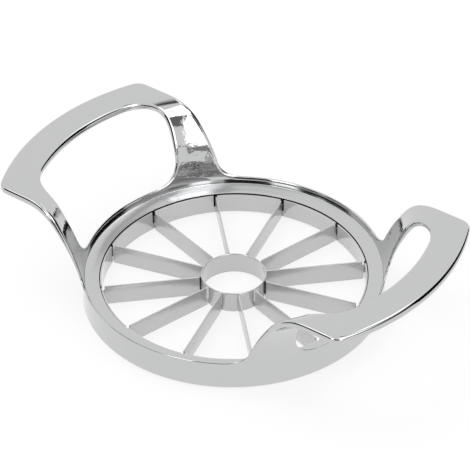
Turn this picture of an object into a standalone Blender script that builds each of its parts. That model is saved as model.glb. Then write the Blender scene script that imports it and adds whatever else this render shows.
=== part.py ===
"""Apple slicer: a cast ring with two raised loop handles, holding an insert of thin steel blades.

The origin is the middle of the underside, on the ring's axis. The handles lie along X, and Z is up.
"""

import math

import bmesh
import bpy
from mathutils import Matrix, Vector

# Cast ring: a flange round the bore, with a thin raised rim outside it
BORE_RADIUS = 0.0500
FLANGE_WIDTH = 0.00555
FLANGE_HEIGHT = 0.0085
RIM_THICKNESS = 0.00105
RIM_RISE = 0.0033
RIM_COVE = 0.0005
RING_FOOT_ROUND = 0.0015
RING_EDGE_ROUND = 0.0003

# Handles: bent sheets that grow out of the rim, lean outward and end in a flat grip
GRIP_HEIGHT = 0.0409
FINGER_GAP = 0.0177
GRIP_WIDTH = 0.0129
HANDLE_THICKNESS = 0.0031
HANDLE_EDGE_WIDTH = 0.0014
HANDLE_EDGE_DEPTH = 0.0010
OPENING_HALF_ANGLE = math.radians(31.0)
LEG_ANGLE = math.radians(18.1)
OPENING_CORNER_ROUND = 0.0130
OUTER_CORNER_ROUND = 0.0055
OPENING_FOOT_SPREAD = 0.0090
OPENING_FOOT_RISE = 0.0100
OUTER_FOOT_SPREAD = 0.0076
OUTER_FOOT_RISE = 0.0050

# Bend of the handle sheet, from the rim up to the grip
ROOT_DEPTH = 0.0024
ROOT_RADIUS = 0.0120
BOW_RADIUS = 0.0900
SHOULDER_RADIUS = 0.0117
SHOULDER_LEAN = math.radians(27.0)
LEG_SINK = 0.0002

# Insert: a thin hoop inside the bore, a core tube and the blades between them
FIT_GAP = 0.0003
HOOP_THICKNESS = 0.0005
HOOP_TOP_DROP = 0.0003
HOOP_LIFT = 0.0004
CORE_RADIUS = 0.01226
CORE_WALL = 0.0006
BLADE_COUNT = 12
FIRST_BLADE_ANGLE = math.radians(15.0)
BLADE_THICKNESS = 0.0005
BLADE_TOP_DROP = 0.00025
BLADE_GROUND_HEIGHT = 0.0012
BLADE_EDGE_THICKNESS = 0.00012

# Joint between a blade's outer end and the hoop, and the relief at its inner end
SLOT_DEPTH = 0.0052
SLOT_SPARE = 0.0006
BLADE_NOTCH_DEPTH = 0.0020
BLADE_NOTCH_SETBACK = 0.0009
BLADE_NOTCH_ROUND = 0.0006
CORE_RELIEF_WIDTH = 0.00075
CORE_RELIEF_DEPTH = 0.0058

# One overrun for all cuts, and the distance under which two points are one
OVERRUN = 0.0010
MERGE_DISTANCE = 0.000001

# Resolution, in counts
RING_STEPS = 96
CORE_STEPS = 48
ARC_STEPS = 4
FOOT_ROWS = 8
SIDE_ROWS = 8
CORNER_ROWS = 5
SHOULDER_ROWS = 3
GRIP_ROWS = 6
ACROSS_STEPS = 5
EDGE_STEPS = 2

# Shares chosen by hand
CORNER_LIMIT_SHARE = 0.7
EDGE_ROUND_LIMIT_SHARE = 0.45
SINK_FADE_SHARE = 2.5
CORNER_START_SHARE = 0.64
CORNER_END_SHARE = 0.77
HOOP_SEAT_SHARE = 0.5
SLOT_CORNER_SHARE = 0.25

RIM_HEIGHT = FLANGE_HEIGHT + RIM_RISE
RIM_INNER_RADIUS = BORE_RADIUS + FLANGE_WIDTH
RING_RADIUS = RIM_INNER_RADIUS + RIM_THICKNESS
ROOT_HEIGHT = RIM_HEIGHT - ROOT_DEPTH
GRIP_INNER_RADIUS = RING_RADIUS + FINGER_GAP
GRIP_OUTER_RADIUS = GRIP_INNER_RADIUS + GRIP_WIDTH
HANDLE_HALF_WIDTH = RIM_INNER_RADIUS * math.sin(OPENING_HALF_ANGLE + LEG_ANGLE)
HOOP_OUTER_RADIUS = BORE_RADIUS - FIT_GAP
HOOP_INNER_RADIUS = HOOP_OUTER_RADIUS - HOOP_THICKNESS
HOOP_TOP = FLANGE_HEIGHT - HOOP_TOP_DROP
BLADE_TOP = FLANGE_HEIGHT - BLADE_TOP_DROP
QUARTER_TURN = math.pi / 2


# Scene helpers

def clear_scene():
    for item in list(bpy.data.objects):
        bpy.data.objects.remove(item, do_unlink=True)


def make_collection(name):
    collection = bpy.data.collections.new(name)
    bpy.context.scene.collection.children.link(collection)
    return collection


def make_material(name, colour, roughness):
    material = bpy.data.materials.new(name)
    material.use_nodes = True
    shader = material.node_tree.nodes["Principled BSDF"]
    shader.inputs["Base Color"].default_value = (*colour, 1.0)
    shader.inputs["Metallic"].default_value = 1.0
    shader.inputs["Roughness"].default_value = roughness
    return material


def add_object(name, mesh, collection, material=None):
    item = bpy.data.objects.new(name, mesh)
    collection.objects.link(item)
    if material:
        mesh.materials.append(material)
    return item


def finish_round(mesh):
    mesh.shade_smooth()
    mesh.set_sharp_from_angle(angle=math.radians(35))


def hide_helper(item):
    item.hide_render = True
    item.display_type = "WIRE"


def boolean(item, other, operation):
    step = item.modifiers.new(f"{operation.lower()} {other.name}", "BOOLEAN")
    step.operation = operation
    step.object = other
    step.solver = "EXACT"


def unit_arc(start, end, steps):
    """Sine and cosine of each angle from start to end."""
    angles = [start + (end - start) * step / steps for step in range(steps + 1)]
    return [(math.sin(angle), math.cos(angle)) for angle in angles]


def arc(centre, radius, start, end, steps):
    """Points on an arc about centre, from the start angle to the end angle."""
    turns = unit_arc(start, end, steps)
    return [(centre[0] + radius * cosine, centre[1] + radius * sine) for sine, cosine in turns]


def turned(name, profile, steps, collection, material):
    """A closed profile of (radius, height) points, turned round Z."""
    mesh = bpy.data.meshes.new(name)
    shape = bmesh.new()
    corners = [shape.verts.new((radius, 0, height)) for radius, height in profile]
    for corner, following in zip(corners, corners[1:] + corners[:1]):
        shape.edges.new((corner, following))
    shape.to_mesh(mesh)
    shape.free()
    item = add_object(name, mesh, collection, material)
    screw = item.modifiers.new("turn", "SCREW")
    screw.steps = steps
    screw.render_steps = steps
    screw.use_merge_vertices = True
    screw.merge_threshold = MERGE_DISTANCE
    screw.use_smooth_shade = True
    return item


# Cast ring and handles

def ring_profile():
    """The ring's section, down its outside, across the underside, up the bore and over the flange."""
    crest = RIM_THICKNESS / 2
    foot = min(RING_FOOT_ROUND, (RING_RADIUS - BORE_RADIUS) / 2)
    cove = min(RIM_COVE, RIM_RISE / 2)
    edge = RING_EDGE_ROUND
    middle = RING_RADIUS - crest
    points = arc((middle, RIM_HEIGHT - crest), crest, 2 * QUARTER_TURN, 0, 2 * ARC_STEPS)
    points += arc((RING_RADIUS - foot, foot), foot, 0, -QUARTER_TURN, ARC_STEPS)
    points += arc((BORE_RADIUS + edge, edge), edge, -QUARTER_TURN, -2 * QUARTER_TURN, 1)
    points += arc((BORE_RADIUS + edge, FLANGE_HEIGHT - edge), edge, 2 * QUARTER_TURN, QUARTER_TURN, 1)
    points += arc(
        (RIM_INNER_RADIUS - cove, FLANGE_HEIGHT + cove), cove, -QUARTER_TURN, 0, ARC_STEPS
    )
    return points


class HandleSheet:
    """The handle's inner face: a turned surface that leans out of the rim, bows and levels off.

    A place on it is (angle round the ring's axis, distance up the face from the root).
    """

    def __init__(self):
        self.radii = (ROOT_RADIUS, BOW_RADIUS, SHOULDER_RADIUS)
        shoulder_rise = SHOULDER_RADIUS * (1 - math.sin(SHOULDER_LEAN))
        bow_top = GRIP_HEIGHT - ROOT_HEIGHT - shoulder_rise
        sine = (BOW_RADIUS * math.sin(SHOULDER_LEAN) - bow_top) / (BOW_RADIUS - ROOT_RADIUS)
        foot_lean = math.asin(min(max(sine, 0.0), math.sin(SHOULDER_LEAN)))
        self.leans = (0.0, foot_lean, SHOULDER_LEAN, QUARTER_TURN)
        self.starts = [(RIM_INNER_RADIUS, ROOT_HEIGHT)]
        self.lengths = []
        for radius, lean, following in zip(self.radii, self.leans, self.leans[1:]):
            start = self.starts[-1]
            run = radius * (math.cos(lean) - math.cos(following))
            rise = radius * (math.sin(following) - math.sin(lean))
            self.starts.append((start[0] + run, start[1] + rise))
            self.lengths.append(radius * (following - lean))

    def section_at(self, distance):
        """Radius, height and lean of the face at a distance up it."""
        for index, length in enumerate(self.lengths):
            if distance <= length:
                radius = self.radii[index]
                lean = self.leans[index] + distance / radius
                start = self.starts[index]
                run = radius * (math.cos(self.leans[index]) - math.cos(lean))
                rise = radius * (math.sin(lean) - math.sin(self.leans[index]))
                return start[0] + run, start[1] + rise, lean
            distance -= length
        level = self.starts[-1]
        return level[0] + distance, level[1], QUARTER_TURN

    def distance_of(self, plan_radius):
        """Distance up the face to where it reaches a radius."""
        passed = 0.0
        for index, length in enumerate(self.lengths):
            if plan_radius <= self.starts[index + 1][0]:
                radius = self.radii[index]
                run = plan_radius - self.starts[index][0]
                cosine = math.cos(self.leans[index]) - run / radius
                lean = math.acos(min(max(cosine, -1.0), 1.0))
                return passed + radius * (lean - self.leans[index])
            passed += length
        return passed + plan_radius - self.starts[-1][0]

    def place_of(self, x, y):
        return math.atan2(y, x), self.distance_of(math.hypot(x, y))

    def point(self, place, depth):
        """World point under the face at a place, depth measured square to the face."""
        angle, distance = place
        radius, height, lean = self.section_at(distance)
        radius += depth * math.cos(lean)
        height -= depth * math.sin(lean)
        return Vector((radius * math.cos(angle), radius * math.sin(angle), height))


def opening_corner(sheet):
    """Centre and radius, in plan, of the round between the opening's side and the grip."""
    limit = CORNER_LIMIT_SHARE * (GRIP_INNER_RADIUS - RIM_INNER_RADIUS)
    radius = min(OPENING_CORNER_ROUND, limit)
    reach = GRIP_INNER_RADIUS - radius
    turn = math.asin(radius / reach)
    angle = OPENING_HALF_ANGLE - turn
    side_end = sheet.distance_of(reach * math.cos(turn))
    return (reach * math.cos(angle), reach * math.sin(angle)), radius, angle, side_end


def foot_spread(spread, rise, height):
    """How far a foot spreads sideways at a height above the rim: a quarter ellipse."""
    left = 1 - min(max(height / rise, 0.0), 1.0)
    return spread * (1 - math.sqrt(1 - left * left))


def foot_rows(sheet, side_end):
    """Both edges of a leg, from inside the rim up to where the opening's corner starts."""
    crest = sheet.distance_of(RIM_INNER_RADIUS) + ROOT_DEPTH
    leg_rise = side_end - crest
    opening_rise = min(OPENING_FOOT_RISE, leg_rise)
    outer_rise = min(OUTER_FOOT_RISE, leg_rise)
    rows = []
    for row in range(-1, FOOT_ROWS + 1):
        turn = QUARTER_TURN * max(row, 0) / FOOT_ROWS
        height = leg_rise * (1 - math.cos(turn))
        distance = crest + height if row >= 0 else 0.0
        radius = sheet.section_at(distance)[0]
        inner = foot_spread(OPENING_FOOT_SPREAD, opening_rise, height) / radius
        outer = foot_spread(OUTER_FOOT_SPREAD, outer_rise, height) / radius
        side = math.asin(min(HANDLE_HALF_WIDTH / radius, 1.0))
        rows.append(((OPENING_HALF_ANGLE - inner, distance), (side + outer, distance)))
    return rows


def bend_rows(sheet, centre, radius, corner_angle, side_end):
    """Both edges round the handle's corner, from the leg to the grip."""
    corner = min(OUTER_CORNER_ROUND, GRIP_WIDTH)
    corner_y = HANDLE_HALF_WIDTH - corner
    corner_x = math.sqrt((GRIP_OUTER_RADIUS - corner) ** 2 - corner_y**2)
    end_angle = math.atan2(corner_y, corner_x)
    side_radius = sheet.section_at(side_end)[0]
    side_x = math.sqrt(side_radius**2 - HANDLE_HALF_WIDTH**2)
    start = OPENING_HALF_ANGLE + QUARTER_TURN
    shares = (0.0, CORNER_START_SHARE, CORNER_END_SHARE, 1.0)
    counts = (SIDE_ROWS, CORNER_ROWS, SHOULDER_ROWS)
    rows = []
    for span, count in enumerate(counts):
        for row in range(1, count + 1):
            part = row / count
            share = shares[span] + (shares[span + 1] - shares[span]) * part
            angle = start + (corner_angle - start) * share
            inner = (centre[0] + radius * math.cos(angle), centre[1] + radius * math.sin(angle))
            if span == 0:
                outer = (side_x + (corner_x - side_x) * part, HANDLE_HALF_WIDTH)
            elif span == 1:
                turn = QUARTER_TURN + (end_angle - QUARTER_TURN) * part
                outer = (corner_x + corner * math.cos(turn), corner_y + corner * math.sin(turn))
            else:
                turn = end_angle + (corner_angle - end_angle) * part
                outer = (GRIP_OUTER_RADIUS * math.cos(turn), GRIP_OUTER_RADIUS * math.sin(turn))
            rows.append((sheet.place_of(*inner), sheet.place_of(*outer)))
    return rows


def grip_rows(sheet, corner_angle):
    inner = sheet.distance_of(GRIP_INNER_RADIUS)
    outer = sheet.distance_of(GRIP_OUTER_RADIUS)
    rows = []
    for row in range(1, GRIP_ROWS + 1):
        angle = corner_angle * (1 - row / GRIP_ROWS)
        rows.append(((angle, inner), (angle, outer)))
    return rows


def rounded_section(width, thickness):
    """Closed loop of (place across, depth) points round a band with rounded edges."""
    deep = min(HANDLE_EDGE_DEPTH, EDGE_ROUND_LIMIT_SHARE * thickness)
    wide = HANDLE_EDGE_WIDTH
    flat = width - 2 * wide
    corners = (
        ((width - wide, deep), 3),
        ((width - wide, thickness - deep), 0),
        ((wide, thickness - deep), 1),
        ((wide, deep), 2),
    )
    points = []
    for (across, depth), quarter in corners:
        start = quarter * QUARTER_TURN
        for sine, cosine in unit_arc(start, start + QUARTER_TURN, EDGE_STEPS):
            points.append((across + wide * cosine, depth + deep * sine))
        if quarter == 0:
            for step in range(1, ACROSS_STEPS):
                points.append((width - wide - flat * step / ACROSS_STEPS, thickness))
    for step in range(1, ACROSS_STEPS):
        points.append((wide + flat * step / ACROSS_STEPS, 0.0))
    return points


def band_section(sheet, inner, outer):
    """The band's section between its two edges, as world points."""
    height = sheet.point(inner, 0).z
    taper = max(height - RIM_HEIGHT, 0) / (GRIP_HEIGHT - RIM_HEIGHT)
    thickness = RIM_THICKNESS + (HANDLE_THICKNESS - RIM_THICKNESS) * taper**2
    fade = min((height - ROOT_HEIGHT) / (SINK_FADE_SHARE * ROOT_DEPTH), 1.0)
    sink = LEG_SINK * (1 - fade)
    width = (sheet.point(inner, 0) - sheet.point(outer, 0)).length
    points = []
    for across, depth in rounded_section(width, thickness - 2 * sink):
        share = across / width
        angle = inner[0] + (outer[0] - inner[0]) * share
        distance = inner[1] + (outer[1] - inner[1]) * share
        points.append(sheet.point((angle, distance), sink + depth))
    return points


def mirrored(points):
    return [Vector((point.x, -point.y, point.z)) for point in points]


def handle_mesh():
    """One loop handle at +X, lofted from foot to foot through its corners and grip."""
    sheet = HandleSheet()
    centre, radius, corner_angle, side_end = opening_corner(sheet)
    rows = foot_rows(sheet, side_end)
    rows += bend_rows(sheet, centre, radius, corner_angle, side_end)
    rows += grip_rows(sheet, corner_angle)
    sections = [band_section(sheet, inner, outer) for inner, outer in rows]
    sections += [mirrored(section) for section in reversed(sections[:-1])]
    shape = bmesh.new()
    loops = [[shape.verts.new(point) for point in section] for section in sections]
    for loop, following in zip(loops, loops[1:]):
        for index in range(len(loop)):
            shape.faces.new((loop[index - 1], loop[index], following[index], following[index - 1]))
    shape.faces.new(loops[0])
    shape.faces.new(loops[-1])
    bmesh.ops.recalc_face_normals(shape, faces=shape.faces)
    mesh = bpy.data.meshes.new("handle")
    shape.to_mesh(mesh)
    shape.free()
    finish_round(mesh)
    return mesh


def make_casting(parts, helpers, material):
    casting = turned("frame_casting", ring_profile(), RING_STEPS, parts, material)
    mesh = handle_mesh()
    for name, turn in (("right_handle", 0), ("left_handle", math.pi)):
        handle = add_object(name, mesh, helpers)
        handle.rotation_euler.z = turn
        hide_helper(handle)
        boolean(casting, handle, "UNION")
    return casting


# Blade insert

def blade_angles():
    return [FIRST_BLADE_ANGLE + 2 * math.pi * index / BLADE_COUNT for index in range(BLADE_COUNT)]


def slot_side(index):
    """Which side of a blade its hoop slot is open to: three blades one way, three the other."""
    return 1 if (index - 1) % (BLADE_COUNT // 2) >= BLADE_COUNT // 4 else -1


def flat_solid(name, outline, thickness):
    """A mesh from a flat outline of (x, z) points, thickened about the XZ plane."""
    curve = bpy.data.curves.new(name, "CURVE")
    curve.dimensions = "2D"
    curve.fill_mode = "BOTH"
    curve.extrude = thickness / 2
    spline = curve.splines.new("POLY")
    spline.points.add(len(outline) - 1)
    for point, (x, z) in zip(spline.points, outline):
        point.co = (x, z, 0, 1)
    spline.use_cyclic_u = True
    guide = bpy.data.objects.new(name, curve)
    bpy.context.scene.collection.objects.link(guide)
    graph = bpy.context.evaluated_depsgraph_get()
    mesh = bpy.data.meshes.new_from_object(guide.evaluated_get(graph))
    bpy.data.objects.remove(guide)
    mesh.transform(Matrix.Rotation(QUARTER_TURN, 4, "X"))
    shape = bmesh.new()
    shape.from_mesh(mesh)
    bmesh.ops.remove_doubles(shape, verts=shape.verts, dist=MERGE_DISTANCE)
    bmesh.ops.recalc_face_normals(shape, faces=shape.faces)
    shape.to_mesh(mesh)
    shape.free()
    return mesh


def slot_mesh():
    """Cutter for one hoop slot: a tall plate with its lower corners rounded."""
    width = FIT_GAP + BLADE_THICKNESS + SLOT_SPARE
    bottom = HOOP_TOP - SLOT_DEPTH
    top = HOOP_TOP + OVERRUN
    edge = SLOT_CORNER_SHARE * width
    outline = [(-width / 2, top)]
    outline += arc((edge - width / 2, bottom + edge), edge, 2 * QUARTER_TURN, 3 * QUARTER_TURN, 2)
    outline += arc((width / 2 - edge, bottom + edge), edge, -QUARTER_TURN, 0, 2)
    outline += [(width / 2, top)]
    mesh = flat_solid("slot", outline, HOOP_THICKNESS + 2 * OVERRUN)
    mesh.transform(Matrix.Rotation(QUARTER_TURN, 4, "Z"))
    return mesh


def make_hoop(parts, helpers, material):
    profile = [
        (HOOP_OUTER_RADIUS, HOOP_TOP),
        (HOOP_OUTER_RADIUS, HOOP_LIFT),
        (HOOP_INNER_RADIUS, HOOP_LIFT),
        (HOOP_INNER_RADIUS, HOOP_TOP),
    ]
    hoop = turned("blade_hoop", profile, RING_STEPS, parts, material)
    mesh = slot_mesh()
    shift = (SLOT_SPARE - FIT_GAP) / 2
    radius = HOOP_OUTER_RADIUS - HOOP_THICKNESS / 2
    for index, angle in enumerate(blade_angles()):
        slot = add_object(f"slot_{index + 1:02d}", mesh, helpers)
        slot.rotation_euler.z = angle
        place = Vector((radius, shift * slot_side(index), 0))
        slot.location = Matrix.Rotation(angle, 3, "Z") @ place
        hide_helper(slot)
        boolean(hoop, slot, "DIFFERENCE")
    return hoop


def make_core(parts, material):
    inner = CORE_RADIUS - CORE_WALL
    profile = [
        (CORE_RADIUS, FLANGE_HEIGHT),
        (CORE_RADIUS, 0),
        (inner, 0),
        (inner, FLANGE_HEIGHT),
    ]
    return turned("core_tube", profile, CORE_STEPS, parts, material)


def blade_outline():
    """A blade's side view: tab for the hoop slot, notch above it and relief beside the core."""
    end = HOOP_INNER_RADIUS - FIT_GAP
    tab = HOOP_INNER_RADIUS + HOOP_SEAT_SHARE * HOOP_THICKNESS
    tab_bottom = HOOP_TOP - SLOT_DEPTH + FIT_GAP
    notch = BLADE_TOP - BLADE_NOTCH_DEPTH
    notch_end = HOOP_INNER_RADIUS - BLADE_NOTCH_SETBACK
    inner = CORE_RADIUS + FIT_GAP
    relief = CORE_RADIUS + CORE_RELIEF_WIDTH
    relief_bottom = BLADE_TOP - CORE_RELIEF_DEPTH
    outline = [(inner, 0), (end, 0), (end, tab_bottom), (tab, tab_bottom), (tab, notch)]
    centre = (notch_end + BLADE_NOTCH_ROUND, notch + BLADE_NOTCH_ROUND)
    outline += arc(centre, BLADE_NOTCH_ROUND, -QUARTER_TURN, -2 * QUARTER_TURN, 3)
    outline += [(notch_end, BLADE_TOP), (relief, BLADE_TOP), (relief, relief_bottom)]
    outline += [(inner, relief_bottom)]
    return outline


def blade_mesh(material):
    """One blade along +X, its lower edge ground thin on both faces."""
    mesh = flat_solid("blade", blade_outline(), BLADE_THICKNESS)
    shape = bmesh.new()
    shape.from_mesh(mesh)
    bmesh.ops.bisect_plane(
        shape,
        geom=shape.verts[:] + shape.edges[:] + shape.faces[:],
        plane_co=(0, 0, BLADE_GROUND_HEIGHT),
        plane_no=(0, 0, 1),
    )
    for corner in shape.verts:
        if corner.co.z < BLADE_GROUND_HEIGHT / 2:
            corner.co.y *= BLADE_EDGE_THICKNESS / BLADE_THICKNESS
    shape.to_mesh(mesh)
    shape.free()
    mesh.materials.append(material)
    return mesh


def make_blades(parts, material):
    mesh = blade_mesh(material)
    for index, angle in enumerate(blade_angles()):
        blade = add_object(f"blade_{index + 1:02d}", mesh, parts)
        blade.rotation_euler.z = angle


def main():
    clear_scene()
    parts = make_collection("apple_slicer")
    helpers = make_collection("cutters")
    chrome = make_material("chrome_plate", (0.80, 0.80, 0.81), 0.06)
    hoop_steel = make_material("hoop_steel", (0.62, 0.62, 0.63), 0.30)
    core_steel = make_material("core_steel", (0.60, 0.60, 0.61), 0.28)
    blade_steel = make_material("blade_steel", (0.64, 0.64, 0.65), 0.25)
    make_casting(parts, helpers, chrome)
    make_hoop(parts, helpers, hoop_steel)
    make_core(parts, core_steel)
    make_blades(parts, blade_steel)


main()
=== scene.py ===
import math

import bmesh
import bpy
from mathutils import Matrix, Vector


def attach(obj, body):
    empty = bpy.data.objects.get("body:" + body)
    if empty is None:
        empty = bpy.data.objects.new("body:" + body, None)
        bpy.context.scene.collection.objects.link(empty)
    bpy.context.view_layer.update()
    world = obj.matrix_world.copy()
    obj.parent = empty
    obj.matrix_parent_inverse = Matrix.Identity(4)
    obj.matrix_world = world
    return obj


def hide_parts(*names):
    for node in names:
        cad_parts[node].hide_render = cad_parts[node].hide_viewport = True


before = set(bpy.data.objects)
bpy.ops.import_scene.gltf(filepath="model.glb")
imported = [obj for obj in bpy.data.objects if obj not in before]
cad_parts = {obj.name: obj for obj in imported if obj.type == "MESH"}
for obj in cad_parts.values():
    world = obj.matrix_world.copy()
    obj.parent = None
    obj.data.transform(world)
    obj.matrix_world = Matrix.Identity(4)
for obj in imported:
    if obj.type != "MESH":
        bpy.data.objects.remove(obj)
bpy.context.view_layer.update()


# Cast frame. The real piece is one zinc casting: a flange round the bore, a thin rim that stands up
# outside it and two loop handles that grow out of the rim. It is polished and bright chrome plated.
# The flange rises a little to the rim. One quarter is bent from flat grids and mirrored twice.
BORE_RADIUS = 0.0500
BORE_EDGE_ROUND = 0.00015
FLANGE_HEIGHT = 0.0085
RIM_INNER_RADIUS = 0.05555
RIM_THICKNESS = 0.00105
RIM_HEIGHT = 0.0118
RIM_COVE = 0.0003
DISH_WIDTH, DISH_RISE = 0.0034, 0.0005
RING_RADIUS = RIM_INNER_RADIUS + RIM_THICKNESS
RING_FOOT_ROUND = 0.0015

# The crest's round has a height and a share of the rim's thickness, inside first and then outside.
RIM_ROUND_HEIGHTS = (0.0015, 0.0005)
RIM_ROUND_SHARES = (0.68, 0.28)

GRIP_HEIGHT = 0.0409
GRIP_INNER_RADIUS = 0.0743
GRIP_OUTER_RADIUS = 0.0872
HANDLE_THICKNESS = 0.0031
HANDLE_EDGE_WIDTH, HANDLE_EDGE_SHARE = 0.0014, 0.36
HANDLE_EDGE_GROWTH = 0.014
HANDLE_HALF_WIDTH = 0.0420
OPENING_HALF_ANGLE = math.radians(31.0)
OPENING_CORNER_ROUND = 0.0130
OUTER_CORNER_ROUND = 0.0055
OPENING_FOOT_SPREAD, OPENING_FOOT_RISE = 0.0090, 0.0100
OUTER_FOOT_SPREAD, OUTER_FOOT_RISE = 0.0076, 0.0050

ROOT_HEIGHT = 0.0094
ROOT_BEND, BOW_BEND, SHOULDER_BEND = 0.0120, 0.0900, 0.0117
SHOULDER_LEAN = math.radians(27.0)
QUARTER_TURN = math.pi / 2
DISH_TURN = QUARTER_TURN - math.atan(2 * DISH_RISE / DISH_WIDTH)
WALL_FOOT_UP = FLANGE_HEIGHT + DISH_RISE + RIM_COVE * math.sin(DISH_TURN) - ROOT_HEIGHT

# Rows and columns of the grids. The opening's corner is split at two shares of its turn, so that its
# rows face the side, the corner and the shoulder of the handle's outer outline.
CREST_COLUMNS, OUTER_CREST_COLUMNS = 16, 22
FILLET_ROWS, LEG_ROWS, GRIP_ROWS = 6, 5, 10
SIDE_ROWS, CORNER_ROWS, SHOULDER_ROWS = 9, 6, 4
CORNER_START, CORNER_END = 0.64, 0.77
ACROSS = [0, 0.03] + [step / 12 for step in range(1, 12)] + [0.97, 1]
RIM_ROWS = (0, 0.05, 0.3, 0.65, 0.95, 1)
WALL_ROWS = (0.02, 0.2, 0.5, 0.8, 0.97, 1)
EDGE_STEPS, DISH_STEPS = 4, 6
FOOT_FAN, LEAST_FAN_SLOPE = 0.5, 0.3
FLAT_MARGIN = 0.0002
MERGE_DISTANCE = 0.000002


def smooth(value):
    value = min(max(value, 0.0), 1.0)
    return value * value * (3 - 2 * value)


def mix(start, end, share):
    return start + (end - start) * share


def bends_of_face():
    """The arcs of the handle's inner face, each as bend, lean at foot and head, and place of its foot."""
    rise = GRIP_HEIGHT - ROOT_HEIGHT - SHOULDER_BEND * (1 - math.sin(SHOULDER_LEAN))
    foot_lean = math.asin((BOW_BEND * math.sin(SHOULDER_LEAN) - rise) / (BOW_BEND - ROOT_BEND))
    leans = (0.0, foot_lean, SHOULDER_LEAN, QUARTER_TURN)
    radius, height = RIM_INNER_RADIUS, ROOT_HEIGHT
    arcs = []
    for bend, lean, head in zip((ROOT_BEND, BOW_BEND, SHOULDER_BEND), leans, leans[1:]):
        arcs.append((bend, lean, head, radius, height))
        radius += bend * (math.cos(lean) - math.cos(head))
        height += bend * (math.sin(head) - math.sin(lean))
    return arcs, radius


FACE_ARCS, SHOULDER_RADIUS = bends_of_face()


def face_at(up):
    """Radius, height and lean of the handle's inner face, a distance up from its root."""
    if up < 0:
        return RIM_INNER_RADIUS, ROOT_HEIGHT + up, 0.0
    for bend, lean, head, radius, height in FACE_ARCS:
        length = bend * (head - lean)
        if up <= length:
            turned = lean + up / bend
            run = bend * (math.cos(lean) - math.cos(turned))
            return radius + run, height + bend * (math.sin(turned) - math.sin(lean)), turned
        up -= length
    return SHOULDER_RADIUS + up, GRIP_HEIGHT, QUARTER_TURN


def up_of(plan_radius):
    """Distance up the face at which it reaches a radius."""
    passed = 0.0
    for bend, lean, head, radius, height in FACE_ARCS:
        if plan_radius <= radius + bend * (math.cos(lean) - math.cos(head)):
            turned = math.acos(math.cos(lean) - (plan_radius - radius) / bend)
            return passed + bend * (turned - lean)
        passed += bend * (head - lean)
    return passed + plan_radius - SHOULDER_RADIUS


CREST_UP = RIM_HEIGHT - ROOT_HEIGHT
SIDE_ANGLE = math.asin(HANDLE_HALF_WIDTH / RIM_INNER_RADIUS)
INNER_FOOT_ANGLE = OPENING_HALF_ANGLE - OPENING_FOOT_SPREAD / RIM_INNER_RADIUS
OUTER_FOOT_ANGLE = SIDE_ANGLE + OUTER_FOOT_SPREAD / RIM_INNER_RADIUS


def thickness_at(up):
    taper = max(face_at(up)[1] - RIM_HEIGHT, 0) / (GRIP_HEIGHT - RIM_HEIGHT)
    return mix(RIM_THICKNESS, HANDLE_THICKNESS, taper**2)


def on_sheet(angle, up, depth_share):
    """A point of the rim or handle sheet. The rim stands upright and only the legs lean out of it."""
    radius, height, lean = face_at(up)
    inner = smooth((angle - INNER_FOOT_ANGLE) / (OPENING_HALF_ANGLE - INNER_FOOT_ANGLE))
    outer = smooth((OUTER_FOOT_ANGLE - angle) / (OUTER_FOOT_ANGLE - SIDE_ANGLE))
    upright = (1 - inner * outer) * (1 - smooth((up - CREST_UP) / OPENING_FOOT_RISE))
    radius = mix(radius, RIM_INNER_RADIUS, upright)
    lean = mix(lean, 0.0, upright)
    depth = depth_share * thickness_at(up)
    radius += depth * math.cos(lean)
    height -= depth * math.sin(lean)
    return Vector((radius * math.cos(angle), radius * math.sin(angle), height))


def fillet(side, spread, rise):
    """The outline from the rim's crest up into a leg's edge, as a quarter ellipse. Side 1 is the opening's
    and side -1 the outer one."""
    places = []
    for row in range(1, FILLET_ROWS + 1):
        turn = QUARTER_TURN * row / FILLET_ROWS
        up = CREST_UP + rise * (1 - math.cos(turn))
        across = spread * (1 - math.sin(turn)) / face_at(up)[0]
        if side > 0:
            places.append((OPENING_HALF_ANGLE - across, up))
        else:
            places.append((math.asin(HANDLE_HALF_WIDTH / face_at(up)[0]) + across, up))
    return places


def plan(x, y):
    """Angle round the ring and distance up the face of a point in plan."""
    return math.atan2(y, x), up_of(math.hypot(x, y))


reach = GRIP_INNER_RADIUS - OPENING_CORNER_ROUND
corner_turn = math.asin(OPENING_CORNER_ROUND / reach)
corner_angle = OPENING_HALF_ANGLE - corner_turn
corner_centre = (reach * math.cos(corner_angle), reach * math.sin(corner_angle))
side_end = up_of(reach * math.cos(corner_turn))

outer_y = HANDLE_HALF_WIDTH - OUTER_CORNER_ROUND
outer_x = math.sqrt((GRIP_OUTER_RADIUS - OUTER_CORNER_ROUND) ** 2 - outer_y**2)
outer_end = math.atan2(outer_y, outer_x)


def opening_outline():
    """From the crest at the middle of the opening, up the leg's inner edge, to the grip's middle."""
    crest = [INNER_FOOT_ANGLE * step / CREST_COLUMNS for step in range(CREST_COLUMNS + 1)]
    places = [(angle, CREST_UP) for angle in crest]
    places += fillet(1, OPENING_FOOT_SPREAD, OPENING_FOOT_RISE)
    foot_end = places[-1][1]
    for row in range(1, LEG_ROWS + 1):
        places.append((OPENING_HALF_ANGLE, mix(foot_end, side_end, row / LEG_ROWS)))
    start = OPENING_HALF_ANGLE + QUARTER_TURN
    shares = [mix(0, CORNER_START, (row + 1) / SIDE_ROWS) for row in range(SIDE_ROWS)]
    shares += [mix(CORNER_START, CORNER_END, (row + 1) / CORNER_ROWS) for row in range(CORNER_ROWS)]
    shares += [mix(CORNER_END, 1, (row + 1) / SHOULDER_ROWS) for row in range(SHOULDER_ROWS)]
    for share in shares:
        angle = mix(start, corner_angle, share)
        x = corner_centre[0] + OPENING_CORNER_ROUND * math.cos(angle)
        places.append(plan(x, corner_centre[1] + OPENING_CORNER_ROUND * math.sin(angle)))
    for row in range(1, GRIP_ROWS + 1):
        places.append((corner_angle * (1 - row / GRIP_ROWS), up_of(GRIP_INNER_RADIUS)))
    return places


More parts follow.
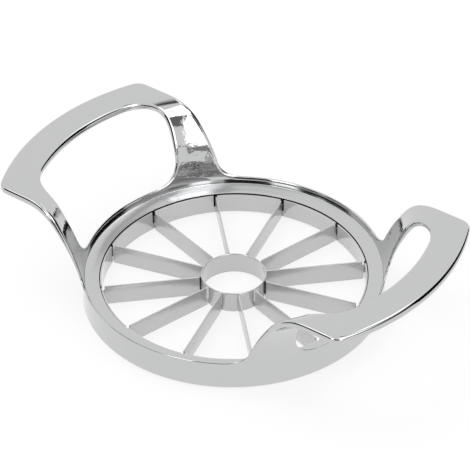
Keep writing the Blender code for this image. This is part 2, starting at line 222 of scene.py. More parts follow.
def outer_outline():
    """From the crest midway between the handles, up the leg's outer edge, to the grip's middle."""
    span = QUARTER_TURN - OUTER_FOOT_ANGLE
    steps = range(OUTER_CREST_COLUMNS + 1)
    crest = [QUARTER_TURN - span * step / OUTER_CREST_COLUMNS for step in steps]
    places = [(angle, CREST_UP) for angle in crest]
    places += fillet(-1, OUTER_FOOT_SPREAD, OUTER_FOOT_RISE)
    foot_end = places[-1][1]
    for row in range(1, LEG_ROWS + 1):
        up = mix(foot_end, side_end, row / LEG_ROWS)
        places.append((math.asin(HANDLE_HALF_WIDTH / face_at(up)[0]), up))
    side_x = math.sqrt(face_at(side_end)[0] ** 2 - HANDLE_HALF_WIDTH**2)
    for row in range(1, SIDE_ROWS + 1):
        places.append(plan(mix(side_x, outer_x, row / SIDE_ROWS), HANDLE_HALF_WIDTH))
    for row in range(1, CORNER_ROWS + 1):
        turn = mix(QUARTER_TURN, outer_end, row / CORNER_ROWS)
        x = outer_x + OUTER_CORNER_ROUND * math.cos(turn)
        places.append(plan(x, outer_y + OUTER_CORNER_ROUND * math.sin(turn)))
    top = up_of(GRIP_OUTER_RADIUS)
    for row in range(1, SHOULDER_ROWS + 1):
        places.append((mix(outer_end, corner_angle, row / SHOULDER_ROWS), top))
    for row in range(1, GRIP_ROWS + 1):
        places.append((corner_angle * (1 - row / GRIP_ROWS), top))
    return places


def outward(places, index, side):
    """Unit direction out of the metal at one place of an outline, round the ring and up the face."""
    before = places[max(index - 1, 0)]
    after = places[min(index + 1, len(places) - 1)]
    radius = face_at(places[index][1])[0]
    tangent = Vector((radius * (after[0] - before[0]), after[1] - before[1])).normalized()
    return Vector((-tangent.y, tangent.x)) * side


def edge_place(places, index, side, step):
    """One point of the rounded edge: place round the ring, place up the face and depth share."""
    angle, up = places[index]
    direction = outward(places, index, side)
    radius, height, _ = face_at(up)
    grown = smooth((height - RIM_HEIGHT) / HANDLE_EDGE_GROWTH)
    face = 0 if step <= EDGE_STEPS else 1
    wide = mix(RIM_ROUND_HEIGHTS[face], HANDLE_EDGE_WIDTH, grown)
    deep = mix(RIM_ROUND_SHARES[face], HANDLE_EDGE_SHARE, grown)
    turn = QUARTER_TURN * (edge_points - step if face else step) / EDGE_STEPS
    inset, depth = wide * (1 - math.sin(turn)), deep * (1 - math.cos(turn))
    return angle - direction.x * inset / radius, up - direction.y * inset, 1 - depth if face else depth


def bent_grid(shape, columns, rows, place):
    """A flat grid, bent into place: place(column, row) gives each corner."""
    made = bmesh.ops.create_grid(shape, x_segments=columns, y_segments=rows, size=1, calc_uvs=True)
    for corner in made["verts"]:
        column = round((corner.co.x + 1) / 2 * columns)
        row = round((corner.co.y + 1) / 2 * rows)
        corner.co = place(column, row)


outlines = {1: opening_outline(), -1: outer_outline()}
first_column = CREST_COLUMNS + FILLET_ROWS // 2
last_column = OUTER_CREST_COLUMNS + FILLET_ROWS // 2
edge_points = 2 * EDGE_STEPS + 1
across_count = len(ACROSS) - 1


def edge_point(side, index, step):
    return on_sheet(*edge_place(outlines[side], index, side, step))


def edge_end(side, index, face):
    """Where the rounded edge meets the inner face, 0, or the outer face, 1."""
    return edge_place(outlines[side], index, side, edge_points * face)[:2]


def leg_place(row, share, face):
    """A place across a leg or grip, between the ends of its two rounded edges."""
    inner = edge_end(1, first_column + row, face)
    outer = edge_end(-1, last_column + row, face)
    return mix(inner[0], outer[0], share), mix(inner[1], outer[1], share)


def column_top(column, face):
    """Where a column of the ring's grid ends on a face, at the crest or at a leg's foot."""
    if column <= first_column:
        return edge_end(1, column, face)
    if column >= first_column + across_count:
        return edge_end(-1, last_column - (column - first_column - across_count), face)
    return leg_place(0, ACROSS[column - first_column], face)


def side_foot(side, index):
    """Angle at the foot of a column of the rim, drawn aside under a fillet so that the columns fan."""
    angle, up = outlines[side][index]
    direction = outward(outlines[side], index, side)
    drop = up - WALL_FOOT_UP
    return angle - FOOT_FAN * direction.x / max(direction.y, LEAST_FAN_SLOPE) * drop / RIM_INNER_RADIUS


def column_foot(column):
    if column <= first_column:
        return side_foot(1, column)
    if column >= first_column + across_count:
        return side_foot(-1, last_column - (column - first_column - across_count))
    ends = side_foot(1, first_column), side_foot(-1, last_column)
    return mix(*ends, ACROSS[column - first_column])


def corner_round(centre, radius, start, end, steps):
    """Points round a corner of the ring's section, from the start angle to the end angle."""
    turns = [mix(start, end, step / steps) for step in range(steps + 1)]
    return [(centre[0] + radius * math.cos(turn), centre[1] + radius * math.sin(turn)) for turn in turns]


def supported(points, margin):
    """Adds a point near each end of a long straight run, so that it stays flat when smoothed."""
    full = [points[0]]
    for before, after in zip(points, points[1:]):
        length = math.dist(before, after)
        if length > 4 * margin:
            for share in (margin / length, 0.5, 1 - margin / length):
                full.append((mix(before[0], after[0], share), mix(before[1], after[1], share)))
        full.append(after)
    return full


cove_centre = (RIM_INNER_RADIUS - RIM_COVE, WALL_FOOT_UP + ROOT_HEIGHT)
section = corner_round(cove_centre, RIM_COVE, 0, -DISH_TURN, 4)
dish_radius = section[-1][0]
for step in range(1, DISH_STEPS + 1):
    share = 1 - step / DISH_STEPS
    section.append((dish_radius - DISH_WIDTH * (1 - share), FLANGE_HEIGHT + DISH_RISE * share**2))
round_start = BORE_RADIUS + BORE_EDGE_ROUND
top_centre = (round_start, FLANGE_HEIGHT - BORE_EDGE_ROUND)
section += corner_round(top_centre, BORE_EDGE_ROUND, QUARTER_TURN, math.pi, 3)
low_centre = (round_start, BORE_EDGE_ROUND)
section += corner_round(low_centre, BORE_EDGE_ROUND, math.pi, 3 * QUARTER_TURN, 3)
foot_centre = (RING_RADIUS - RING_FOOT_ROUND, RING_FOOT_ROUND)
section += corner_round(foot_centre, RING_FOOT_ROUND, -QUARTER_TURN, 0, 5)
section = supported(section, FLAT_MARGIN)[1:]


def ring_place(column, row):
    """A point of the ring: down the rim's inner face, round the section and up the outer wall."""
    angle = column_foot(column)
    if row < len(RIM_ROWS):
        top = column_top(column, 0)
        share = RIM_ROWS[row]
        return on_sheet(mix(top[0], angle, share), mix(top[1], WALL_FOOT_UP, share), 0)
    row -= len(RIM_ROWS)
    if row < len(section):
        radius, height = section[row]
        return Vector((radius * math.cos(angle), radius * math.sin(angle), height))
    top = column_top(column, 1)
    share = WALL_ROWS[row - len(section)]
    foot_up = RING_FOOT_ROUND - ROOT_HEIGHT
    return on_sheet(mix(angle, top[0], share), mix(foot_up, top[1], share), 1)


def handle_place(column, row):
    """A point of the handle: round its section from the opening's edge, and up from its foot."""
    if column <= edge_points:
        return edge_point(1, first_column + row, column)
    column -= edge_points
    if column <= across_count:
        return on_sheet(*leg_place(row, ACROSS[column], 1), 1)
    column -= across_count
    if column <= edge_points:
        return edge_point(-1, last_column + row, edge_points - column)
    return on_sheet(*leg_place(row, ACROSS[across_count + edge_points - column], 0), 0)


shape = bmesh.new()
ring_rows = len(RIM_ROWS) + len(section) + len(WALL_ROWS) - 1
bent_grid(shape, first_column + across_count + last_column, ring_rows, ring_place)
bent_grid(shape, first_column, edge_points, lambda column, row: edge_point(1, column, row))
bent_grid(shape, last_column, edge_points, lambda column, row: edge_point(-1, column, row))
handle_rows = len(outlines[1]) - 1 - first_column
bent_grid(shape, 2 * (edge_points + across_count), handle_rows, handle_place)
bmesh.ops.remove_doubles(shape, verts=shape.verts, dist=MERGE_DISTANCE)
for axis in "YX":
    quarter = shape.verts[:] + shape.edges[:] + shape.faces[:]
    bmesh.ops.mirror(
        shape, geom=quarter, matrix=Matrix.Identity(4), merge_dist=MERGE_DISTANCE, axis=axis)
bmesh.ops.remove_doubles(shape, verts=shape.verts, dist=MERGE_DISTANCE)
bmesh.ops.recalc_face_normals(shape, faces=shape.faces)


def finished(name, shape, material, node):
    """The piece made from a shape: smooth, in its material and standing for its CAD node."""
    mesh = bpy.data.meshes.new(name)
    shape.to_mesh(mesh)
    shape.free()
    mesh.materials.append(material)
    mesh.shade_smooth()
    piece = bpy.data.objects.new(name, mesh)
    bpy.context.scene.collection.objects.link(piece)
    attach(piece, "root")
    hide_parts(node)
    return piece


class Field:
    """A value that varies over a surface. Sums and products of fields add their own nodes."""

    def __init__(self, tree, socket):
        self.tree = tree
        self.socket = socket

    def node(self, kind, settings, sockets, output=0):
        """A new node of a type, with its settings, then the values or fields of its sockets."""
        made = self.tree.nodes.new(kind)
        for name, value in settings.items():
            setattr(made, name, value)
        for name, value in sockets.items():
            if isinstance(value, Field):
                self.tree.links.new(value.socket, made.inputs[name])
            else:
                made.inputs[name].default_value = value
        return Field(self.tree, made.outputs[output])

    def maths(self, operation, *values, clamp=False):
        settings = {"operation": operation, "use_clamp": clamp}
        return self.node("ShaderNodeMath", settings, dict(enumerate(values)))

    def __add__(self, other):
        return self.maths("ADD", self, other)

    def __sub__(self, other):
        return self.maths("SUBTRACT", self, other)

    def __rsub__(self, other):
        return self.maths("SUBTRACT", other, self)

    def __mul__(self, other):
        return self.maths("MULTIPLY", self, other)

    __radd__, __rmul__ = __add__, __mul__

    def clamped(self):
        return self.maths("MULTIPLY", self, 1.0, clamp=True)

    def above(self, limit, width):
        """0 up to a limit and 1 from a width past it."""
        return ((self - limit) * (1 / width)).clamped()

    def below(self, limit, width):
        """0 down to a limit and 1 from a width below it."""
        return ((limit - self) * (1 / width)).clamped()

    def joined(self, second, third):
        """A vector of three fields or numbers."""
        return self.node("ShaderNodeCombineXYZ", {}, {"X": self, "Y": second, "Z": third})

    def noise(self, scale, detail=2.0, roughness=0.5):
        """Noise of an even grain, from this field as its coordinates."""
        sockets = {"Vector": self, "Scale": scale, "Detail": detail, "Roughness": roughness}
        return self.node("ShaderNodeTexNoise", {}, sockets)

    def stretched(self, along, across, high):
        """These coordinates, scaled by a number along each axis."""
        sockets = {"Vector": self, "Scale": (along, across, high)}
        return self.node("ShaderNodeMapping", {}, sockets)

    def parts(self):
        """The three parts of a vector."""
        split = self.tree.nodes.new("ShaderNodeSeparateXYZ")
        self.tree.links.new(self.socket, split.inputs[0])
        return [Field(self.tree, socket) for socket in split.outputs]


def metal(name, metallic=1.0):
    """A new metal material, with its shader and the object's own coordinates as a field."""
    material = bpy.data.materials.new(name)
    material.use_nodes = True
    tree = material.node_tree
    shader = tree.nodes["Principled BSDF"]
    shader.inputs["Metallic"].default_value = metallic
    coordinates = tree.nodes.new("ShaderNodeTexCoord")
    return material, shader, Field(tree, coordinates.outputs["Object"])


def mapped(tree, name=""):
    """One of the piece's own UV maps as a field, or its first one."""
    map_node = tree.nodes.new("ShaderNodeUVMap")
    map_node.uv_map = name
    return Field(tree, map_node.outputs[0])


def feed(field, shader, socket):
    field.tree.links.new(field.socket, shader.inputs[socket])


def blended(share, first, second):
    """A colour between two colours or colour fields, by a field from 0 to 1."""
    start, end = [colour if isinstance(colour, Field) else (*colour, 1) for colour in (first, second)]
    return share.node("ShaderNodeMix", {"data_type": "RGBA"}, {0: share, 6: start, 7: end}, output=2)


def bumped(height, distance):
    sockets = {"Height": height, "Distance": distance, "Strength": 1.0}
    return height.node("ShaderNodeBump", {}, sockets)


# The plate is bright, with the faint waves of a polished casting, shallow dents on the legs and hairline
# wipe marks. Fine tool marks dull the flange. Inside the bore, below the flange, the wall is dull and
# painted near black as shade, the shadow of the crevice behind the hoop.
PLATE_DARK, PLATE_LIGHT = (0.548, 0.551, 0.556), (0.572, 0.574, 0.578)
BORE_PAINTED_SHADE = (0.01, 0.01, 0.01)
SHARP_FADE, FLANGE_FADE = 0.00005, 0.0001
LEG_FOOT_FADE, LEG_TOP_FADE = 0.0025, 0.00125
BORE_SKIN = BORE_RADIUS + 0.0001
BORE_TOP = FLANGE_HEIGHT - 0.00008
COVE_START = RIM_INNER_RADIUS - 0.0002
LEG_TOP = 0.0390
PLATE_RELIEF = 0.00004

chrome, shader, place = metal("bright_chrome")
x, y, z = place.parts()
squares = x * x + y * y
radius = squares.maths("SQRT", squares)
under = z.below(BORE_TOP, SHARP_FADE)
bore_shade_mask = radius.below(BORE_SKIN, SHARP_FADE) * under
on_flange = radius.below(COVE_START, FLANGE_FADE) * (1.0 - under)
on_leg = z.above(RIM_HEIGHT, LEG_FOOT_FADE) * z.below(LEG_TOP, LEG_TOP_FADE)
waves = place.noise(55.0, 1.0)
marks = place.stretched(40, 900, 900).noise(1.0, 3.0, 0.6)
turn = x.maths("ARCTAN2", y, x)
tool_marks = turn.joined(radius, 0.0).stretched(260, 400, 1).noise(1.0, 3.0, 0.7)
dents = place.noise(330.0, 2.0, 0.6)
# Painted shade: the bore wall below the flange is painted near black, as the shadow in the crevice behind
# the hoop.
feed(blended(bore_shade_mask, blended(marks, PLATE_DARK, PLATE_LIGHT), BORE_PAINTED_SHADE), shader, "Base Color")
feed(0.03 + marks * 0.03 + bore_shade_mask * 0.5 + on_flange * (0.08 + tool_marks * 0.14), shader, "Roughness")
plate_height = waves * 0.5 + on_leg * dents * 1.6 + on_flange * tool_marks * 0.1
feed(bumped(plate_height, PLATE_RELIEF), shader, "Normal")

casting = finished("cast_frame", shape, chrome, "frame_casting")
smoothing = casting.modifiers.new("smooth", "SUBSURF")
smoothing.levels = smoothing.render_levels = 1


# Blade hoop. The real piece is a rolled strip of thin stainless steel that lines the bore. A slot beside
# each blade takes the blade's tab, and the strip sits a little below the flange.
HOOP_GAP, HOOP_WALL, HOOP_DROP = 0.0003, 0.0005, 0.0005
HOOP_OUTER_RADIUS = BORE_RADIUS - HOOP_GAP
HOOP_INNER_RADIUS = HOOP_OUTER_RADIUS - HOOP_WALL
HOOP_LOW, HOOP_TOP = 0.0004, FLANGE_HEIGHT - HOOP_DROP
SLOT_DEPTH = 0.0050
SLOT_WIDTH = 0.0014
SLOT_SHIFT = 0.00015
BLADE_COUNT = 12
FIRST_BLADE_ANGLE = math.radians(15.0)
HOOP_LIGHT, HOOP_DARK, HOOP_ROUGHNESS = (0.615, 0.615, 0.62), (0.56, 0.56, 0.565), 0.13
STEEL_METALLIC, STEEL_RELIEF = 0.6, 0.000004
WORN_DEPTH, WORN_FADE = 0.0001, 0.0002
WALL_STEPS, SHARP_ANGLE = 16, math.radians(35.0)
FULL_TURN, NEAR_ANGLE = 2 * math.pi, 0.001


def slot_middle(index):
    """Angle of the slot beside a blade. Half of the slots are shifted one way and half the other."""
    side = 1 if (index - 1) % 6 >= 3 else -1
    return FIRST_BLADE_ANGLE + FULL_TURN * index / BLADE_COUNT + side * SLOT_SHIFT / HOOP_INNER_RADIUS


half_slot = SLOT_WIDTH / 2 / HOOP_INNER_RADIUS
hoop_angles, slot_columns = [], []
for index in range(BLADE_COUNT):
    slot_columns.append(len(hoop_angles))
    hoop_angles.append(slot_middle(index) - half_slot)
    wall = slot_middle(index) + half_slot, slot_middle(index + 1) - half_slot
    hoop_angles += [mix(*wall, step / WALL_STEPS) for step in range(WALL_STEPS)]
hoop_angles.append(hoop_angles[0] + FULL_TURN)
hoop_heights = (HOOP_LOW, HOOP_TOP - SLOT_DEPTH, HOOP_TOP)


def hoop_place(column, row):
    angle = hoop_angles[column]
    return HOOP_OUTER_RADIUS * math.cos(angle), HOOP_OUTER_RADIUS * math.sin(angle), hoop_heights[row]


shape = bmesh.new()
bent_grid(shape, len(hoop_angles) - 1, len(hoop_heights) - 1, hoop_place)
bmesh.ops.remove_doubles(shape, verts=shape.verts, dist=MERGE_DISTANCE)
open_angles = [(hoop_angles[column] + hoop_angles[column + 1]) / 2 for column in slot_columns]
cut_away = []
for face in shape.faces:
    middle = face.calc_center_median()
    angle = math.atan2(middle.y, middle.x) % FULL_TURN
    nearest = min(abs(angle - open_angle) for open_angle in open_angles)
    if middle.z > HOOP_TOP - SLOT_DEPTH and nearest < NEAR_ANGLE:
        cut_away.append(face)
bmesh.ops.delete(shape, geom=cut_away, context="FACES")
bmesh.ops.recalc_face_normals(shape, faces=shape.faces)
inner_wall = bmesh.ops.extrude_face_region(shape, geom=shape.faces[:])
for corner in inner_wall["geom"]:
    if isinstance(corner, bmesh.types.BMVert):
        corner.co.xy *= HOOP_INNER_RADIUS / HOOP_OUTER_RADIUS
bmesh.ops.recalc_face_normals(shape, faces=shape.faces)


def wrapped(shape, radius):
    """A UV map round the axis in metres: length round the wall, then height."""
    layer = shape.loops.layers.uv.new("wall")
    for face in shape.faces:
        centre = face.calc_center_median()
        start = math.atan2(centre.y, centre.x)
        for loop in face.loops:
            turn = math.atan2(loop.vert.co.y, loop.vert.co.x) - start
            turn = (turn + math.pi) % FULL_TURN - math.pi
            loop[layer].uv = (radius * (start + turn), loop.vert.co.z)


def steel(name, roughness, light, dark, worn_from):
    """Rolled stainless steel: fine lines along the strip, small shifts of tone and a rubbed top edge."""
    material, shader, place = metal(name, STEEL_METALLIC)
    lines = mapped(place.tree).stretched(60, 9000, 1).noise(1.0, 3.0, 0.6)
    clouds = place.noise(90.0, 2.0)
    worn = place.parts()[2].above(worn_from, WORN_FADE)
    shade = (lines * 0.5 + clouds * 0.5) * 0.8 + worn * 0.2
    feed(blended(shade, dark, light), shader, "Base Color")
    feed(roughness - 0.05 + lines * 0.08 + clouds * 0.04 - worn * 0.06, shader, "Roughness")
    feed(bumped(lines, STEEL_RELIEF), shader, "Normal")
    return material


wrapped(shape, HOOP_INNER_RADIUS)
hoop_steel = steel("rolled_strip", HOOP_ROUGHNESS, HOOP_LIGHT, HOOP_DARK, HOOP_TOP - WORN_DEPTH)
hoop = finished("rolled_hoop", shape, hoop_steel, "blade_hoop")
hoop.data.set_sharp_from_angle(angle=SHARP_ANGLE)


# Core tube. The real piece is a short drawn stainless tube that cuts the core out. Its top is level with
# the flange and rounded, its foot is ground, and the blades' inner ends are fixed to its outside.
CORE_RADIUS = 0.01226
CORE_WALL = 0.0006
CORE_GROUND_HEIGHT = 0.0008
CORE_LIGHT, CORE_DARK, CORE_ROUGHNESS = (0.615, 0.615, 0.62), (0.555, 0.555, 0.56), 0.13
CORE_FLAT_MARGIN = 0.0003
CORE_STEPS = 96

core_round = CORE_WALL / 2
core_inner = CORE_RADIUS - CORE_WALL
core_round_centre = (CORE_RADIUS - core_round, FLANGE_HEIGHT - core_round)
core_top = corner_round(core_round_centre, core_round, 0, math.pi, 6)
core_section = supported([(CORE_RADIUS, CORE_GROUND_HEIGHT), core_top[0]], CORE_FLAT_MARGIN)
core_section += core_top[1:]
core_section += supported([core_top[-1], (core_inner, CORE_GROUND_HEIGHT)], CORE_FLAT_MARGIN)[1:]
core_section.append((CORE_RADIUS - core_round, 0))
shape = bmesh.new()
corners = [shape.verts.new((radius, 0, height)) for radius, height in core_section]
for corner, following in zip(corners, corners[1:] + corners[:1]):
    shape.edges.new((corner, following))
bmesh.ops.spin(
    shape, geom=shape.verts[:] + shape.edges[:], axis=(0, 0, 1), cent=(0, 0, 0),
    angle=FULL_TURN, steps=CORE_STEPS, use_merge=True)
bmesh.ops.remove_doubles(shape, verts=shape.verts, dist=MERGE_DISTANCE)
bmesh.ops.recalc_face_normals(shape, faces=shape.faces)
wrapped(shape, CORE_RADIUS)
core_steel = steel("drawn_tube", CORE_ROUGHNESS, CORE_LIGHT, CORE_DARK, FLANGE_HEIGHT - core_round)
core = finished("core_cutter", shape, core_steel, "core_tube")
core.data.set_sharp_from_angle(angle=SHARP_ANGLE)


# Blades. The real ones are twelve strips of thin stainless steel on edge. Each has a tab in the hoop's
# slot, a notch above it, a relief beside the core and a ground lower edge, and its cut edges are dressed.
BLADE_THICKNESS = 0.0005
BLADE_DROP = 0.00025
BLADE_TOP = FLANGE_HEIGHT - BLADE_DROP
BLADE_GROUND_HEIGHT = 0.0012
BLADE_EDGE_THICKNESS = 0.00012
BLADE_EDGE_ROUND = 0.00008
BLADE_END_GAP, BLADE_INNER_GAP = 0.0003, 0.0003
TAB_REACH, TAB_FOOT_GAP = 0.00025, 0.0003
NOTCH_WIDTH, NOTCH_DEPTH, NOTCH_ROUND = 0.0009, 0.0020, 0.0006
JOINT_GAP, CLOSED_GAP, JOINT_DEPTH = 0.00075, 0.00005, 0.0058
BLADE_LIGHT, BLADE_DARK, BLADE_ROUGHNESS = (0.62, 0.62, 0.625), (0.565, 0.565, 0.57), 0.22
JOINT_PAINTED_SHADE = (0.004, 0.004, 0.004)
JOINT_MARGIN = 0.0001

# Beside four of the blades the joint at the core is closed, and at two of those the blade's end by the core
# is painted black as shade, standing in for the shadow in a gap.
CLOSED_JOINTS, PAINTED_SHADE_JOINTS = (0, 1, 6, 7), (0, 7)

blade_end = HOOP_INNER_RADIUS - BLADE_END_GAP
tab_end = HOOP_INNER_RADIUS + TAB_REACH
tab_low = HOOP_TOP - SLOT_DEPTH + TAB_FOOT_GAP
notch_end, notch_low = HOOP_INNER_RADIUS - NOTCH_WIDTH, BLADE_TOP - NOTCH_DEPTH
blade_inner, joint_end = CORE_RADIUS + BLADE_INNER_GAP, CORE_RADIUS + JOINT_GAP
closed_end, joint_low = CORE_RADIUS + CLOSED_GAP, BLADE_TOP - JOINT_DEPTH
blade_outline = [(blade_inner, 0), (blade_end, 0), (blade_end, tab_low), (tab_end, tab_low)]
blade_outline += [(tab_end, notch_low)]
notch_centre = (notch_end + NOTCH_ROUND, notch_low + NOTCH_ROUND)
blade_outline += corner_round(notch_centre, NOTCH_ROUND, -QUARTER_TURN, -math.pi, 4)
blade_outline += [(notch_end, BLADE_TOP)]
open_joint = [(joint_end, BLADE_TOP), (joint_end, joint_low), (blade_inner, joint_low)]
closed_joint = [(closed_end, BLADE_TOP), (closed_end, joint_low), (blade_inner, joint_low)]

blade_steel = steel("blade_strip", BLADE_ROUGHNESS, BLADE_LIGHT, BLADE_DARK, BLADE_TOP - WORN_DEPTH)
shader = blade_steel.node_tree.nodes["Principled BSDF"]
across, up, _ = mapped(blade_steel.node_tree, "joint").parts()
# Painted shade: on two blades the end beside the core is painted black, as the shadow in the gap at the
# joint.
joint_shade_mask = across.below(joint_end - JOINT_MARGIN, SHARP_FADE) * up.above(joint_low, SHARP_FADE)
bare_steel = Field(blade_steel.node_tree, shader.inputs["Base Color"].links[0].from_socket)
feed(blended(joint_shade_mask, bare_steel, JOINT_PAINTED_SHADE), shader, "Base Color")


def above_ground(edge):
    """Whether an edge runs along one of the blade's sides, above the ground strip."""
    first, second = edge.verts
    ends_high = min(first.co.z, second.co.z) > BLADE_GROUND_HEIGHT * 1.1
    return ends_high and first.co.y * second.co.y > 0


for index in range(BLADE_COUNT):
    shape = bmesh.new()
    half = BLADE_THICKNESS / 2
    outline = blade_outline + (closed_joint if index in CLOSED_JOINTS else open_joint)
    side_face = shape.faces.new([shape.verts.new((x, -half, z)) for x, z in outline])
    far_side = bmesh.ops.extrude_face_region(shape, geom=[side_face])
    for corner in far_side["geom"]:
        if isinstance(corner, bmesh.types.BMVert):
            corner.co.y = half
    whole = shape.verts[:] + shape.edges[:] + shape.faces[:]
    bmesh.ops.bisect_plane(shape, geom=whole, plane_co=(0, 0, BLADE_GROUND_HEIGHT), plane_no=(0, 0, 1))
    for corner in shape.verts:
        if corner.co.z < BLADE_GROUND_HEIGHT / 2:
            corner.co.y *= BLADE_EDGE_THICKNESS / BLADE_THICKNESS
    bmesh.ops.recalc_face_normals(shape, faces=shape.faces)
    bmesh.ops.bevel(
        shape, geom=[edge for edge in shape.edges if above_ground(edge)], offset=BLADE_EDGE_ROUND,
        offset_type="OFFSET", affect="EDGES", segments=2, profile=0.5, material=-1)
    strip_layer = shape.loops.layers.uv.new("strip")
    joint_shade_layer = shape.loops.layers.uv.new("joint")
    for face in shape.faces:
        for loop in face.loops:
            length, height = loop.vert.co.x, loop.vert.co.z
            loop[strip_layer].uv = (length + index, height)
            loop[joint_shade_layer].uv = (length if index in PAINTED_SHADE_JOINTS else 1.0, height)
    angle = FIRST_BLADE_ANGLE + FULL_TURN * index / BLADE_COUNT
    bmesh.ops.rotate(shape, verts=shape.verts, cent=(0, 0, 0), matrix=Matrix.Rotation(angle, 3, "Z"))
    blade_name = f"blade_{index + 1:02d}"
    blade = finished("steel_" + blade_name, shape, blade_steel, blade_name)
    blade.data.set_sharp_from_angle(angle=SHARP_ANGLE)


# Camera. It stands above the slicer and to one side, and looks down over the near handle as the photograph
# does. Its place and its lens come from the same fit to the photograph as the slicer's sizes.
CAMERA_DISTANCE = 1.2
CAMERA_AZIMUTH, CAMERA_ELEVATION = math.radians(37.36), math.radians(37.46)
CAMERA_ROLL = -0.014
AIM_HEIGHT = 0.0085
AIM_RIGHT, AIM_UP = -0.00054, -0.01186
FOCAL_PIXELS, PHOTO_PIXELS, SENSOR_WIDTH = 3229.8, 470, 36.0

level = math.cos(CAMERA_ELEVATION)
back = Vector((
    math.sin(CAMERA_AZIMUTH) * level, -math.cos(CAMERA_AZIMUTH) * level, math.sin(CAMERA_ELEVATION)))
right = Vector((math.cos(CAMERA_AZIMUTH), math.sin(CAMERA_AZIMUTH), 0))
above = back.cross(right)
camera_data = bpy.data.cameras.new("camera")
camera_data.sensor_width = SENSOR_WIDTH
camera_data.lens = SENSOR_WIDTH * FOCAL_PIXELS / PHOTO_PIXELS
camera_data.clip_end = 20.0
camera = bpy.data.objects.new("camera", camera_data)
bpy.context.scene.collection.objects.link(camera)
camera.location = (
    Vector((0, 0, AIM_HEIGHT)) + CAMERA_DISTANCE * back
    - AIM_RIGHT * CAMERA_DISTANCE * right - AIM_UP * CAMERA_DISTANCE * above)
axes = Matrix((right, above, back)).transposed()
camera.rotation_euler = (axes @ Matrix.Rotation(CAMERA_ROLL, 3, "Z")).to_euler()
bpy.context.scene.camera = camera
bpy.context.scene.view_settings.view_transform = "Standard"


# Studio. The slicer stands on a white paper floor in a wide even light, with one soft lamp for its shadow.
# Softboxes and black flags stand round it at a distance. Only the metal sees them, and they draw the
# white fields and the dark lines that polished chrome needs.
FLOOR_HALF, FLOOR_DROP = 4.0, 0.0001
PAPER_WHITE, PAPER_ROUGHNESS, PAPER_SEEN = (0.95, 0.95, 0.95), 0.9, 0.8
KEY_SIZE, KEY_POWER = 0.8, 4.0
KEY_AZIMUTH, KEY_ELEVATION = -60, 60
CARD_DISTANCE, CARD_STEPS = 1.5, 6


def staged(name, shape, material):
    mesh = bpy.data.meshes.new(name)
    shape.to_mesh(mesh)
    shape.free()
    mesh.materials.append(material)
    item = bpy.data.objects.new(name, mesh)
    bpy.context.scene.collection.objects.link(item)
    return item


def studio_place(azimuth, elevation):
    """A place round the slicer. In degrees, azimuth 0 is straight behind it and 90 at the camera's right."""
    azimuth, elevation = math.radians(azimuth), math.radians(elevation)
    level = math.cos(elevation) * CARD_DISTANCE
    ahead = Vector((-back.x, -back.y, 0)).normalized()
    sideways = level * math.sin(azimuth) * right + level * math.cos(azimuth) * ahead
    return sideways + Vector((0, 0, CARD_DISTANCE * math.sin(elevation)))


def card(name, azimuths, elevations, brightness, soft_sides=3.0, soft_ends=3.0, rise=0.0):
    """A card between two azimuths and two elevations in degrees, seen only in the metal. Brightness 0 is a
    black flag, 1 is as bright as the paper, and more is a softbox. Its sides and ends are soft over some
    degrees, and it may rise towards its last azimuth."""
    shape = bmesh.new()
    shape.loops.layers.uv.new("card")

    def place(column, row):
        share = column / CARD_STEPS
        return studio_place(mix(*azimuths, share), mix(*elevations, row / CARD_STEPS) + rise * share)

    bent_grid(shape, CARD_STEPS, CARD_STEPS, place)
    finish = bpy.data.materials.new(name)
    finish.use_nodes = True
    tree = finish.node_tree
    shader = tree.nodes["Principled BSDF"]
    shader.inputs["Base Color"].default_value = (0, 0, 0, 1)
    shader.inputs["Specular IOR Level"].default_value = 0
    strength = max(brightness, 1.0)
    shader.inputs["Emission Strength"].default_value = strength
    spans = (azimuths[1] - azimuths[0]) / soft_sides, (elevations[1] - elevations[0]) / soft_ends
    inside = 1.0
    for part, span in zip(mapped(tree).parts(), spans):
        nearest = part.maths("MINIMUM", part, 1.0 - part) * span
        inside = nearest.clamped() * inside
    feed(blended(inside, (1 / strength,) * 3, (brightness / strength,) * 3), shader, "Emission Color")
    item = staged(name, shape, finish)
    item.visible_camera = item.visible_diffuse = item.visible_shadow = False


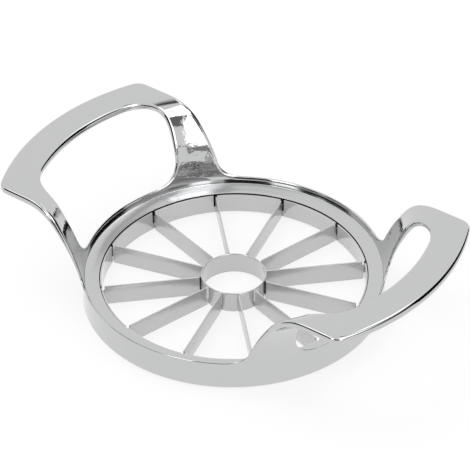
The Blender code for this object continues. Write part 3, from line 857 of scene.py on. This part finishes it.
paper = bpy.data.materials.new("white_paper")
paper.use_nodes = True
tree = paper.node_tree
shader = tree.nodes["Principled BSDF"]
shader.inputs["Base Color"].default_value = (*PAPER_WHITE, 1)
shader.inputs["Roughness"].default_value = PAPER_ROUGHNESS
glow = tree.nodes.new("ShaderNodeEmission")
rays = tree.nodes.new("ShaderNodeLightPath")
camera_ray = Field(tree, rays.outputs["Is Camera Ray"])
glossy_ray = Field(tree, rays.outputs["Is Glossy Ray"])
through_ray = Field(tree, rays.outputs["Is Transmission Ray"])
seen = camera_ray * PAPER_SEEN + glossy_ray + through_ray
blend = tree.nodes.new("ShaderNodeMixShader")
tree.links.new(seen.socket, blend.inputs[0])
tree.links.new(shader.outputs[0], blend.inputs[1])
tree.links.new(glow.outputs[0], blend.inputs[2])
tree.links.new(blend.outputs[0], tree.nodes["Material Output"].inputs["Surface"])
shape = bmesh.new()
bmesh.ops.create_grid(shape, x_segments=8, y_segments=8, size=FLOOR_HALF)
floor = staged("floor", shape, paper)
floor.location.z = -FLOOR_DROP

world = bpy.data.worlds.new("studio")
bpy.context.scene.world = world
world.use_nodes = True
background = world.node_tree.nodes["Background"]
background.inputs["Color"].default_value = (1, 1, 1, 1)
background.inputs["Strength"].default_value = 1.0

card("right_flag", (48, 96), (0, 54), 0, 0.5, 0.5)
card("low_flag", (96, 126), (22, 47), 0.1, 0.5, 1.0)
card("corner_flag", (128, 148), (19, 42), 0.2, 2.0, 2.0)
card("ceiling_flag", (6, 60), (51.5, 70), 0.1, 20.0, 6.0, 22.0)
card("side_shade", (67, 96), (55, 71), 0.3)
card("back_flag", (174, 209), (0, 42), 0, 1.0, 1.0)
card("front_flag", (209, 228), (0, 14), 0)
card("left_flag", (229, 275), (4, 43), 0, 1.5, 1.5)
card("horizon_flag", (149, 165), (1.5, 7), 0.3, 1.5, 1.5)
card("ceiling_softbox", (18, 56), (46.5, 56.5), 2.4, 4.0, 2.0, 15.6)
card("top_softbox", (97, 160), (62, 83), 3.0, 5.0, 5.0)
card("side_softbox", (100, 127), (48, 62), 3.6, 2.0, 2.0)
card("stand_softbox", (127, 160), (42, 62), 4.5, 2.0, 2.0)
card("back_softbox", (148, 166), (7, 42), 3.0)
card("left_softbox", (209, 229), (15, 48), 3.0, 1.5, 1.5)
card("far_left_softbox", (232, 290), (44, 66), 1.8)

key = bpy.data.lights.new("key_light", "AREA")
key.shape = "SQUARE"
key.size = KEY_SIZE
key.energy = KEY_POWER
key_lamp = bpy.data.objects.new("key_light", key)
bpy.context.scene.collection.objects.link(key_lamp)
key_lamp.location = studio_place(KEY_AZIMUTH, KEY_ELEVATION)
key_lamp.rotation_euler = (-key_lamp.location).to_track_quat("-Z", "Y").to_euler()
key_lamp.visible_glossy = False
